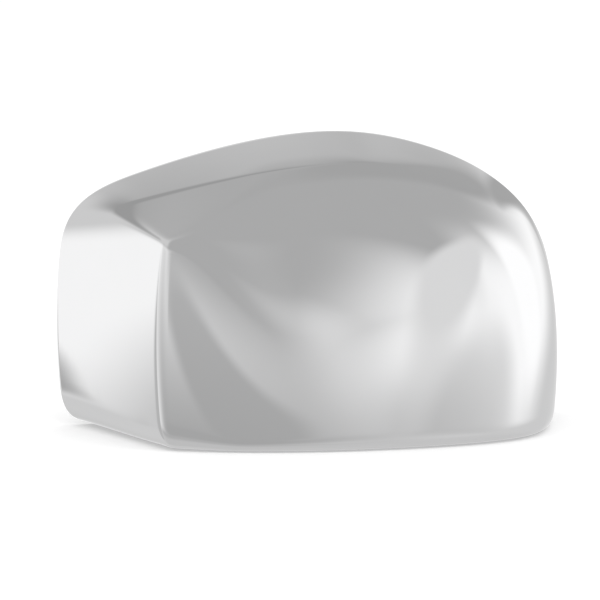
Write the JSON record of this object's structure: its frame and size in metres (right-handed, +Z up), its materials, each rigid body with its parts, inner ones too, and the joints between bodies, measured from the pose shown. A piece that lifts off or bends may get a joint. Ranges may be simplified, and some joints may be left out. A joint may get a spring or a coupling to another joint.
{
  "type": "wing mirror cover",
  "caption": "Chrome-plated wing mirror cover: one crowned, thin-walled shell, open at the back, with moulded snap hooks inside its rim.",
  "frame": {"origin": "in the plane of the rear rim, at the middle of the width, level with the underside: the middle of the rim's lower edge", "axes": "+Z up, +X along the width towards the outboard end, +Y out of the open back, so the front faces -Y; the rear rim lies in one XZ plane"},
  "size_m": [0.233, 0.092, 0.1328],
  "materials": {
    "chrome_plating": "bright mirror chrome plating on a moulded plastic shell, slightly duller on the inside"
  },
  "bodies": {
    "root": {"cover_shell": "chrome_plating"}
  },
  "joints": []
}
